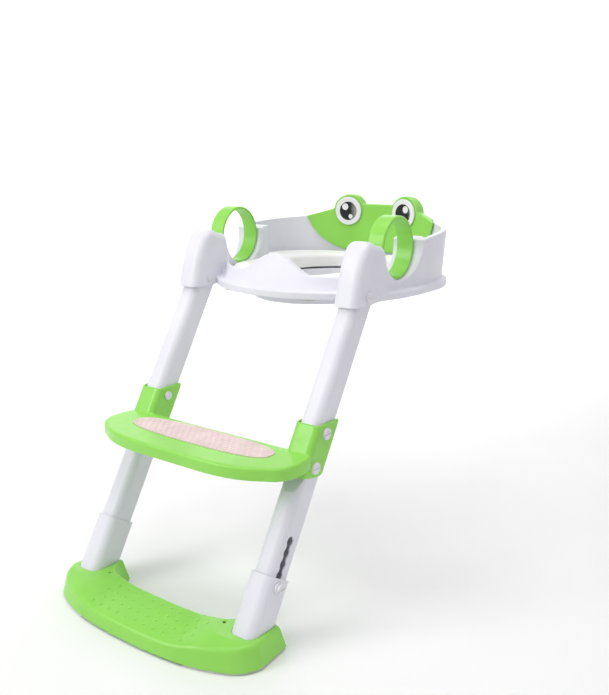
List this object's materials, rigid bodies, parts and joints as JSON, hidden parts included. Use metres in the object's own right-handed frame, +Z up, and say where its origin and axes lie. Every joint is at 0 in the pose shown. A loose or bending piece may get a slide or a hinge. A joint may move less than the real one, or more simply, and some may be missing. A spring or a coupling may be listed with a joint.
{
  "type": "toilet training seat with step ladder",
  "caption": "Child's toilet training seat with padded ring, animal-face back and side grips, on a folding height-adjustable step ladder that reaches the floor.",
  "frame": {"origin": "on the floor, at the centre of the footprint of the opened object", "axes": "+Z up, +Y towards the back of the seat, +X to the right seen from the ladder side"},
  "size_m": [0.376, 0.6322, 0.5584],
  "materials": {
    "white_shell": "gloss",
    "white_leg": "satin",
    "green_plastic": "gloss",
    "cushion_cover": "soft satin",
    "eye_white": "gloss",
    "pupil_black": "gloss",
    "pad_rubber": "matte",
    "steel_screw": "satin",
    "white_fastener": "satin",
    "mat_rubber": "matte"
  },
  "bodies": {
    "seat": {"seat_shell": "white_shell", "seat_cushion": "cushion_cover", "frog_back_panel": "green_plastic", "handle_left": "green_plastic", "handle_right": "green_plastic", "eye_white_left": "eye_white", "eye_white_right": "eye_white", "pupil_left": "pupil_black", "pupil_right": "pupil_black", "eye_glints": "eye_white", "seat_rest_pads": "pad_rubber", "handle_screws": "steel_screw", "pivot_pins": "white_fastener", "pivot_caps": "white_fastener"},
    "upper_ladder": {"upper_leg_left": "white_leg", "upper_leg_right": "white_leg", "middle_step": "green_plastic", "step_mat": "mat_rubber", "sleeve_bolts": "white_fastener", "sleeve_caps": "white_fastener", "knee_pins": "white_fastener", "knee_caps": "white_fastener"},
    "lower_legs": {"inner_leg_left": "white_leg", "inner_leg_right": "white_leg"},
    "foot": {"outer_leg_left": "white_leg", "outer_leg_right": "white_leg", "bottom_step": "green_plastic", "foot_pad_left": "pad_rubber", "foot_pad_right": "pad_rubber"},
    "lock_left": {"lock_screw_left": "white_fastener"},
    "lock_right": {"lock_screw_right": "white_fastener"}
  },
  "joints": [
    {"name": "seat_fold", "type": "hinge", "parent": "seat", "child": "upper_ladder", "pos_m": [0, 0.0095, 0.4375], "axis": [1, 0, 0], "range_deg": [0, 95]},
    {"name": "knee_fold", "type": "hinge", "parent": "upper_ladder", "child": "lower_legs", "pos_m": [0, -0.11813, 0.22509], "axis": [1, 0, 0], "range_deg": [0, 75]},
    {"name": "height_slide", "type": "slide", "parent": "lower_legs", "child": "foot", "axis": [0, 0.515, 0.8572], "range_m": [0, 0.0608]},
    {"name": "lock_turn_left", "type": "hinge", "parent": "foot", "child": "lock_left", "pos_m": [-0.1704, -0.19995, 0.08503], "axis": [1, 0, 0], "range_deg": [0, 90]},
    {"name": "lock_turn_right", "type": "hinge", "parent": "foot", "child": "lock_right", "pos_m": [0.1704, -0.19995, 0.08503], "axis": [1, 0, 0], "range_deg": [0, 90]}
  ]
}
